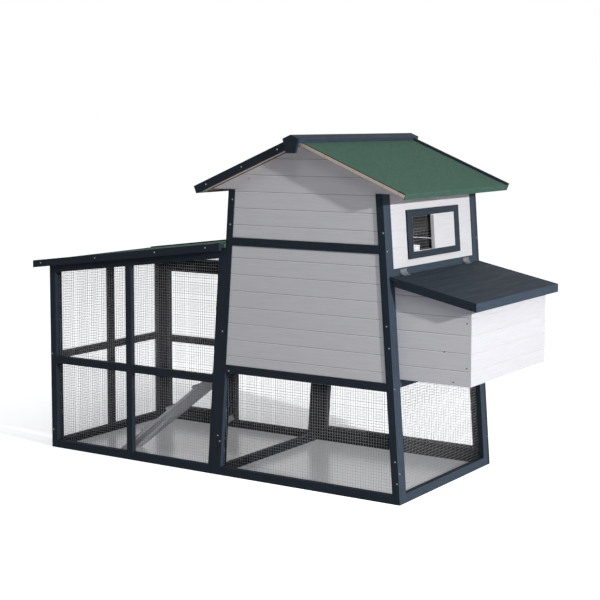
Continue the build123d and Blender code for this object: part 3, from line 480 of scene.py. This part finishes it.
steel = zinc("zinc_steel", (0.28, 0.30, 0.32), 0.75, 0.42)
wire = zinc("wire_zinc", (0.40, 0.40, 0.41), 0.3, 0.5)
screw_steel = zinc("screw_zinc", (0.38, 0.39, 0.40), 0.7, 0.42)
nail = zinc("nail_zinc", (0.07, 0.07, 0.07), 0.4, 0.6)
steel_nodes = ["hinge_fixed_leaves", "hinge_pins", "button_screws"]
hinge_owners = ("nest_lid", "run_door", "house_door", "under_door", "ramp")
steel_nodes += [f"{owner}_hinge_leaves" for owner in hinge_owners]
for node in steel_nodes:
    finish_node(node, steel)


class Shape:
    """Points and faces of a piece under construction."""

    def __init__(self):
        self.points = []
        self.faces = []

    def add(self, points, faces):
        start = len(self.points)
        self.points.extend(points)
        self.faces.extend(tuple(start + index for index in face) for face in faces)

    def rod(self, start, end, radius, sides=6):
        """A straight wire with flat ends."""
        along = (end - start).normalized()
        across = along.orthogonal().normalized()
        third = along.cross(across)
        turns = [2 * math.pi * side / sides for side in range(sides)]
        ring = [radius * (math.cos(turn) * across + math.sin(turn) * third) for turn in turns]
        points = [start + spoke for spoke in ring] + [end + spoke for spoke in ring]
        faces = [(i, (i + 1) % sides, (i + 1) % sides + sides, i + sides) for i in range(sides)]
        faces += [tuple(reversed(range(sides))), tuple(range(sides, 2 * sides))]
        self.add(points, faces)

    def sweep(self, section, start, end):
        """A strip of the given section, whose points are repeated at start and at end."""
        count = len(section)
        points = [point + start for point in section] + [point + end for point in section]
        faces = [(i, (i + 1) % count, (i + 1) % count + count, i + count) for i in range(count)]
        faces += [tuple(reversed(range(count))), tuple(range(count, 2 * count))]
        self.add(points, faces)

    def stamp(self, template, place, normal, size):
        """A copy of a template on a surface, turned by chance about the normal."""
        points, faces = template
        turn = normal.to_track_quat("Z", "Y").to_matrix().to_4x4()
        spin = Matrix.Rotation(chance.uniform(0, math.pi), 4, "Z")
        matrix = Matrix.Translation(place) @ turn @ spin @ Matrix.Scale(size, 4)
        self.add([matrix @ point for point in points], faces)

    def piece(self, name, body, material, slot, smooth=False):
        mesh = bpy.data.meshes.new(name)
        mesh.from_pydata(self.points, [], self.faces)
        solid = bmesh.new()
        solid.from_mesh(mesh)
        bmesh.ops.recalc_face_normals(solid, faces=solid.faces)
        solid.to_mesh(mesh)
        solid.free()
        mesh.materials.append(material)
        if smooth:
            mesh.shade_smooth()
        made = bpy.data.objects.new(name, mesh)
        bpy.context.scene.collection.objects.link(made)
        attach(made, body)
        return made


def ring(count, radius, height):
    turns = [2 * math.pi * step / count for step in range(count)]
    return [Vector((radius * math.cos(turn), radius * math.sin(turn), height)) for turn in turns]


def cross_outline(arm, half, height):
    corners = ((arm, half), (half, half), (half, arm), (-half, arm), (-half, half), (-arm, half))
    corners += tuple((-x, -y) for x, y in corners)
    return [Vector((x, y, height)) for x, y in corners]


def screw_template():
    """A domed screw head of radius 1 with a cross recess."""
    made = bmesh.new()
    sides = 18
    profile = ((1.0, 0.0), (0.97, 0.14), (0.80, 0.28), (0.60, 0.33))
    rings = [ring(sides, radius, height) for radius, height in profile]
    rows = [[made.verts.new(point) for point in loop] for loop in rings]
    for low, high in zip(rows, rows[1:]):
        for i in range(sides):
            after = (i + 1) % sides
            made.faces.new((low[i], low[after], high[after], high[i]))
    rim = [made.verts.new(point) for point in cross_outline(0.46, 0.11, 0.33)]
    recess = [made.verts.new(point) for point in cross_outline(0.40, 0.09, 0.02)]
    corners = len(rim)
    edges = [made.edges.new((rim[i], rim[(i + 1) % corners])) for i in range(corners)]
    edges += [made.edges.get((rows[-1][i], rows[-1][(i + 1) % sides])) for i in range(sides)]
    bmesh.ops.triangle_fill(made, edges=edges, use_beauty=True)
    for i in range(corners):
        after = (i + 1) % corners
        made.faces.new((rim[after], rim[i], recess[i], recess[after]))
    made.faces.new(recess)
    made.verts.index_update()
    points = [vertex.co.copy() for vertex in made.verts]
    faces = [tuple(vertex.index for vertex in face.verts) for face in made.faces]
    made.free()
    return points, faces


def nail_template():
    """A flat nail head of radius 1, slightly dished."""
    sides = 12
    profile = ((1.0, 0.0), (0.95, 0.2), (0.55, 0.26))
    points = [point for radius, height in profile for point in ring(sides, radius, height)]
    faces = []
    for start in (0, sides):
        for i in range(sides):
            after = (i + 1) % sides
            faces.append((start + i, start + after, start + sides + after, start + sides + i))
    faces.append(tuple(range(2 * sides, 3 * sides)))
    return points, faces


SCREW = screw_template()
NAIL = nail_template()
FRONT = Vector((0, -1, 0))
BACK = Vector((0, 1, 0))
RIGHT_WALL = Vector((math.cos(LEAN_ANGLE), 0, math.sin(LEAN_ANGLE)))
LEFT_WALL = Vector((-math.cos(LEAN_ANGLE), 0, math.sin(LEAN_ANGLE)))


# Welded wire netting in place of the coarser nets of the CAD
def outline_of(points, across, up):
    """Corners of the flat outline that holds the points, in the net's own two directions."""
    flat = [Vector((point.dot(across), point.dot(up))) for point in points]
    return [flat[index] for index in convex_hull_2d(flat)]


def span_at(outline, axis, value):
    """Lowest and highest place where the line at value crosses the outline."""
    met = []
    for here, after in zip(outline, outline[1:] + outline[:1]):
        low, high = sorted((here[axis], after[axis]))
        if low <= value <= high and high - low > 1e-9:
            share = (value - here[axis]) / (after[axis] - here[axis])
            met.append(here[1 - axis] + share * (after[1 - axis] - here[1 - axis]))
    return (min(met), max(met)) if len(met) > 1 else None


def add_wires(shape, points, across, up, inward):
    """Level wires against the frame and upright wires inside them, and staples round the edge."""
    outline = outline_of(points, across, up)
    frame_face = min(point.dot(inward) for point in points)

    def place(u, v, layer):
        return across * u + up * v + inward * (frame_face + layer * WIRE)

    for axis, layer in ((0, 3.0), (1, 1.0)):
        values = [corner[axis] for corner in outline]
        value = min(values) + WIRE
        while value < max(values):
            span = span_at(outline, axis, value)
            if span and span[1] - span[0] > SHORTEST_WIRE:
                drift = chance.uniform(-WIRE_DRIFT, WIRE_DRIFT)
                ends = [(value + drift, end) if axis == 0 else (end, value + drift) for end in span]
                shape.rod(place(*ends[0], layer), place(*ends[1], layer), WIRE)
            value += MESH_PITCH
    centre = sum(outline, Vector((0, 0))) / len(outline)
    for here, after in zip(outline, outline[1:] + outline[:1]):
        run = after - here
        count = int(run.length / STAPLE_SPACING)
        for step in range(count):
            spot = here + run * ((step + 0.5) / count)
            spot += (centre - spot).normalized() * STAPLE_INSET
            tilt = chance.uniform(-0.5, 0.5)
            half = Vector((math.cos(tilt), math.sin(tilt))) * STAPLE_HALF
            crown = [place(*(spot + half * sign), 5.0) for sign in (-1, 1)]
            shape.rod(crown[0], crown[1], STAPLE)
            for end in crown:
                shape.rod(end, end - inward * 5.0 * WIRE, STAPLE)


X = Vector((1, 0, 0))
Y = Vector((0, 1, 0))
Z = Vector((0, 0, 1))
wall_up = Vector((-math.sin(LEAN_ANGLE), 0, math.cos(LEAN_ANGLE)))
nets = {
    "run_front_net": ("coop", X, Z, Y),
    "house_front_net": ("coop", X, Z, Y),
    "run_left_net": ("coop", Y, Z, X),
    "run_back_net": ("coop", X, Z, -Y),
    "run_door_net": ("run_door", X, Z, -Y),
    "under_door_net": ("under_door", X, Z, -Y),
    "house_right_net": ("coop", Y, wall_up, -RIGHT_WALL),
    "window_net": ("coop", Y, wall_up, -RIGHT_WALL),
}
middle_x = at(RUN_MIDDLE, 0, 0).x
for node, (body, across, up, inward) in nets.items():
    points = [vertex.co.copy() for vertex in nodes[node].data.vertices]
    groups = [points]
    if node == "run_back_net":
        groups = [[p for p in points if p.x < middle_x], [p for p in points if p.x >= middle_x]]
    shape = Shape()
    for group in groups:
        add_wires(shape, group, across, up, inward)
    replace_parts(shape.piece(f"mesh_{node}", body, wire, "wire_netting", smooth=True), node)


# Screws in the dark frames, where the photograph shows them and at like places elsewhere
def wall_x(side, z):
    """Outer face of a leaning side wall at height z."""
    return RIDGE_X + side * (RIDGE_X - LEAN * z)


front_screws = [(110, 1241), (98, 1131), (24, 180), (34, 155), (86, 478), (53, 653)]
front_screws += [(870, 1126), (889, 741), (902, 651), (929, 484), (933, 180), (943, 89)]
front_screws += [(-971, 460), (-970, 87)]
places = [(at(x, 0, z), FRONT) for x, z in front_screws]
places += [(at(x, HOUSE_DEPTH, z), BACK) for x, z in front_screws]
for side, normal in ((1, RIGHT_WALL), (-1, LEFT_WALL)):
    for z in (130, 1050):
        places += [(at(wall_x(side, z), y, z), normal) for y in (13, HOUSE_DEPTH - 13)]
for z in (60, 432, 800):
    places += [(at(-RUN_LENGTH, y, z), -X) for y in (12, HOUSE_DEPTH - 12)]
for x in (-1011, -665, -307, -18):
    z = RUN_EAVE + math.tan(RUN_ANGLE) * (x + RUN_LENGTH) + 7
    places.append((at(x, -30, z), FRONT))
    places.append((at(x, HOUSE_DEPTH + 30, z), BACK))
screws = Shape()
for place, normal in places:
    screws.stamp(SCREW, place, normal, FRAME_SCREW)


def roof_place(side, along, y, depth):
    """Point of the house roof at a distance along the slope and a depth under its top."""
    across = along * math.cos(ROOF_ANGLE) - depth * math.sin(ROOF_ANGLE)
    drop = along * math.sin(ROOF_ANGLE) + depth * math.cos(ROOF_ANGLE)
    return at(RIDGE_X + side * across, y, RIDGE_HEIGHT - drop)


barge_out = ROOF_OVERHANG + BARGE_THICKNESS
for along in (94, 295, 502):
    screws.stamp(SCREW, roof_place(-1, along, -barge_out, 7), FRONT, FRAME_SCREW)
    for side in (-1, 1):
        screws.stamp(SCREW, roof_place(side, along, HOUSE_DEPTH + barge_out, 7), BACK, FRAME_SCREW)
screws.piece("trim_screws", "coop", screw_steel, "zinc_steel", smooth=True)


# Screws in the hinge leaves: for each hinge its middle, body and axis, and for its fixed and
# moving leaf the direction away from the pin and the one into the wood
def unit(x, y, z):
    return Vector((x, y, z)).normalized()


lid_out = unit(math.cos(LID_ANGLE), 0, -math.sin(LID_ANGLE))
lid_down = unit(-math.sin(LID_ANGLE), 0, -math.cos(LID_ANGLE))
ramp_out = unit(-math.cos(RAMP_ANGLE), 0, -math.sin(RAMP_ANGLE))
ramp_up = unit(-math.sin(RAMP_ANGLE), 0, math.cos(RAMP_ANGLE))
post_axis = unit(LEAN, 0, 1)
post_out = unit(-1, 0, LEAN)
lid_leaves = ("nest_lid", Y, (wall_up, -RIGHT_WALL), (lid_out, lid_down))
door_leaves = (Z, (-X, FRONT), (X, FRONT))
hinges = [(at(894.58, y, 950), *lid_leaves) for y in (137, 718)]
hinges += [(at(-944.5, 859, z), "run_door", *door_leaves) for z in (151, 716)]
hinges += [(at(280, 859, z), "house_door", *door_leaves) for z in (606, 936)]
for z in (151, 356):
    hinge = at(35.5 + LEAN * z, 859, z)
    hinges.append((hinge, "under_door", post_axis, (post_out, FRONT), (-post_out, FRONT)))
ramp_leaves = ("ramp", Y, (post_axis, -LEFT_WALL), (ramp_out, ramp_up))
hinges += [(at(30.11, y, 488), *ramp_leaves) for y in (97, 207)]

leaf_screws = {}
for middle, body, axis, fixed, moving in hinges:
    for owner, (out, onto) in (("coop", fixed), (body, moving)):
        shape = leaf_screws.setdefault(owner, Shape())
        for along, reach in ((-0.019, 0.0095), (0.0, 0.0135), (0.019, 0.0095)):
            place = middle + axis * along + out * reach + onto * LEAF_THICKNESS
            shape.stamp(SCREW, place, -onto, LEAF_SCREW)
for owner, shape in leaf_screws.items():
    shape.piece(f"leaf_screws_{owner}", owner, steel, "zinc_steel", smooth=True)

# Nails at the ends of the boards
nails = Shape()
for x, z in ((1227, 591), (1227, 773), (1127, 650), (1168, 529)):
    nails.stamp(NAIL, at(x, NEST_INSET, z), FRONT, NEST_NAIL)
    nails.stamp(NAIL, at(x, HOUSE_DEPTH - NEST_INSET, z), BACK, NEST_NAIL)
nails.stamp(NAIL, at(196, BOARDS_BEHIND_FRAME, 1333), FRONT, GABLE_NAIL)
nails.stamp(NAIL, at(196, HOUSE_DEPTH - 12, 1333), BACK, GABLE_NAIL)
nails.piece("board_nails", "coop", nail, "zinc_steel", smooth=True)


# Felt turned down over the eaves
def flap(reach):
    """Section of felt that laps over an edge down to reach, as (past the edge, depth) points."""
    lap = [(-34, -0.2), (-32, -1.6), (-1, -1.8), (1.6, -0.8), (FELT_OUT, 2)]
    return lap + [(FELT_OUT, reach), (0.4, reach), (0.2, -0.1)]


def strip(name, section, y0, y1):
    """A felt strip from y0 to y1."""
    made = Shape()
    made.sweep(section, Y * (y0 / 1000), Y * (y1 / 1000))
    made.piece(name, "coop", felt, "green_felt")


for side, word in ((-1, "left"), (1, "right")):
    eave = [roof_place(side, ROOF_SLOPE + past, 0, depth) for past, depth in flap(EAVE_DROP)]
    strip(f"felt_eave_{word}", eave, -ROOF_OVERHANG, HOUSE_DEPTH + ROOF_OVERHANG)


def run_place(x, y, rise):
    """Point above the underside of the run roof, measured square to the slope."""
    height = RUN_EAVE + math.tan(RUN_ANGLE) * (x + RUN_LENGTH)
    return at(x - rise * math.sin(RUN_ANGLE), y, height + rise * math.cos(RUN_ANGLE))


low_end = RUN_ROOF_START + ROOF_LAYERS * math.sin(RUN_ANGLE)
lap = flap(ROOF_LAYERS)
eave = [run_place(low_end - past, 0, ROOF_LAYERS - depth) for past, depth in lap]
strip("felt_eave_run", eave, -RUN_ROOF_SIDE, HOUSE_DEPTH + RUN_ROOF_SIDE)

# Felt turned down over the edges of the run roof between the fascias and the house
verge = Shape()
verge_ends = [run_place(x, 0, ROOF_LAYERS) for x in (FASCIA_END, RUN_WALL_X)]
end_cap = [at(71.9, 0, 1028), at(73.6, 0, 1028), at(75.0, 0, 1046), at(73.1, 0, 1045)]
for edge, way in ((-RUN_ROOF_SIDE, -1), (HOUSE_DEPTH + RUN_ROOF_SIDE, 1)):
    section = [at(0, edge + way * past, -depth) - at(0, 0, 0) for past, depth in lap]
    verge.sweep(section, *verge_ends)
    near, far = sorted((edge + way * FELT_OUT, edge - way * END_CAP_IN))
    verge.sweep(end_cap, Y * (near / 1000), Y * (far / 1000))
verge.piece("felt_verge_run", "coop", green_felt("green_felt_verge", cut=False), "green_felt")

# Camera at the photograph's viewing angle: its pitch and turn in degrees, and its focal length
# and the row of its optical axis in pixels of the picture
CAMERA_PITCH = 4.926
CAMERA_TURN = 33.16
FOCAL_LENGTH = 1398.5
AXIS_ROW = 241.53
PICTURE = 600
SENSOR = 36
camera = bpy.data.objects.new("camera", bpy.data.cameras.new("camera"))
camera.location = (3.5938, -5.3910, 1.5833)
camera.rotation_euler = (math.radians(90 - CAMERA_PITCH), 0, math.radians(CAMERA_TURN))
camera.data.sensor_width = SENSOR
camera.data.lens = FOCAL_LENGTH / PICTURE * SENSOR
camera.data.shift_y = (AXIS_ROW - PICTURE / 2) / PICTURE
bpy.context.scene.collection.objects.link(camera)
bpy.context.scene.camera = camera

# Pale floor and studio light
FLOOR_REACH = 40
FLOOR_LEVEL = -0.0002
SKY_LIGHT = 0.26
SKY_SEEN = 1.0
LAMP_TARGET = Vector((0.4, 0, 0.9))
scene = bpy.context.scene
scene.view_settings.view_transform = "Standard"


def seen_directly(tree):
    """1 for rays from the camera, mirrors and glass, and 0 for the rays that light the object."""
    path = tree.nodes.new("ShaderNodeLightPath")
    total = path.outputs["Is Camera Ray"]
    for name in ("Is Glossy Ray", "Is Transmission Ray"):
        node = tree.nodes.new("ShaderNodeMath")
        node.operation = "MAXIMUM"
        tree.links.new(total, node.inputs[0])
        tree.links.new(path.outputs[name], node.inputs[1])
        total = node.outputs[0]
    return total


def floor_material():
    """A pale floor, white around the coop, and grey and polished inside its bottom rails."""
    made = Material("floor")
    middle = at((HOUSE_LENGTH - RUN_LENGTH) / 2, HOUSE_DEPTH / 2, 0)
    widths = {"X": HOUSE_LENGTH + RUN_LENGTH - BATTEN, "Y": HOUSE_DEPTH - BATTEN}
    outside = []
    for axis, width in widths.items():
        off = made.math("SUBTRACT", made.part(made.place, axis), getattr(middle, axis.lower()))
        outside.append(made.math("GREATER_THAN", made.math("ABSOLUTE", off), width / 2000))
    around = made.math("MAXIMUM", *outside)
    seen = seen_directly(made.tree)
    seen_around = made.math("MULTIPLY", seen, around)
    polish = made.math("SUBTRACT", 0.5, made.math("MULTIPLY", around, 0.5))
    roughness = made.math("ADD", made.math("MULTIPLY", around, 0.67), 0.23)
    made.set(Base_Color=(0.52, 0.54, 0.60, 1), Roughness=roughness, Specular_IOR_Level=polish)
    share = made.math("ADD", made.math("MULTIPLY", around, 0.06), 0.15)
    glow = made.add("ShaderNodeEmission", {"Strength": made.math("MULTIPLY", seen, share)})
    pale = made.add("ShaderNodeBsdfDiffuse", {"Color": made.math("MULTIPLY", seen_around, 2.0)})
    total = made.add("ShaderNodeAddShader", {0: glow, 1: pale})
    total = made.add("ShaderNodeAddShader", {0: made.shader.outputs[0], 1: total})
    made.put(made.tree.nodes["Material Output"].inputs["Surface"], total)
    return made.made


floor_mesh = bpy.data.meshes.new("floor")
square = ((-1, -1), (1, -1), (1, 1), (-1, 1))
corners = [(x * FLOOR_REACH, y * FLOOR_REACH, FLOOR_LEVEL) for x, y in square]
floor_mesh.from_pydata(corners, [], [(0, 1, 2, 3)])
floor_mesh.materials.append(floor_material())
floor = bpy.data.objects.new("floor", floor_mesh)
scene.collection.objects.link(floor)

world = bpy.data.worlds.new("studio")
scene.world = world
world.use_nodes = True
sky = world.node_tree.nodes["Background"]
sky.inputs["Color"].default_value = (1.0, 1.0, 1.0, 1)
level = world.node_tree.nodes.new("ShaderNodeMix")
level.inputs[2].default_value = SKY_LIGHT
level.inputs[3].default_value = SKY_SEEN
world.node_tree.links.new(seen_directly(world.node_tree), level.inputs[0])
world.node_tree.links.new(level.outputs[0], sky.inputs["Strength"])


def lamp(name, kind, energy, place):
    """A lamp that is turned to the coop."""
    made = bpy.data.objects.new(name, bpy.data.lights.new(name, kind))
    made.data.energy = energy
    made.location = place
    made.rotation_euler = (made.location - LAMP_TARGET).to_track_quat("Z", "Y").to_euler()
    scene.collection.objects.link(made)
    return made.data


# A hard lamp at the right end of the coop, and soft light from high above the front
key = lamp("key", "AREA", 206, (5.83, -1.42, 2.36))
key.shape = "DISK"
key.size = 0.14
lamp("fill", "SUN", 0.28, (2.3, -3.0, 4.3)).angle = math.radians(25)
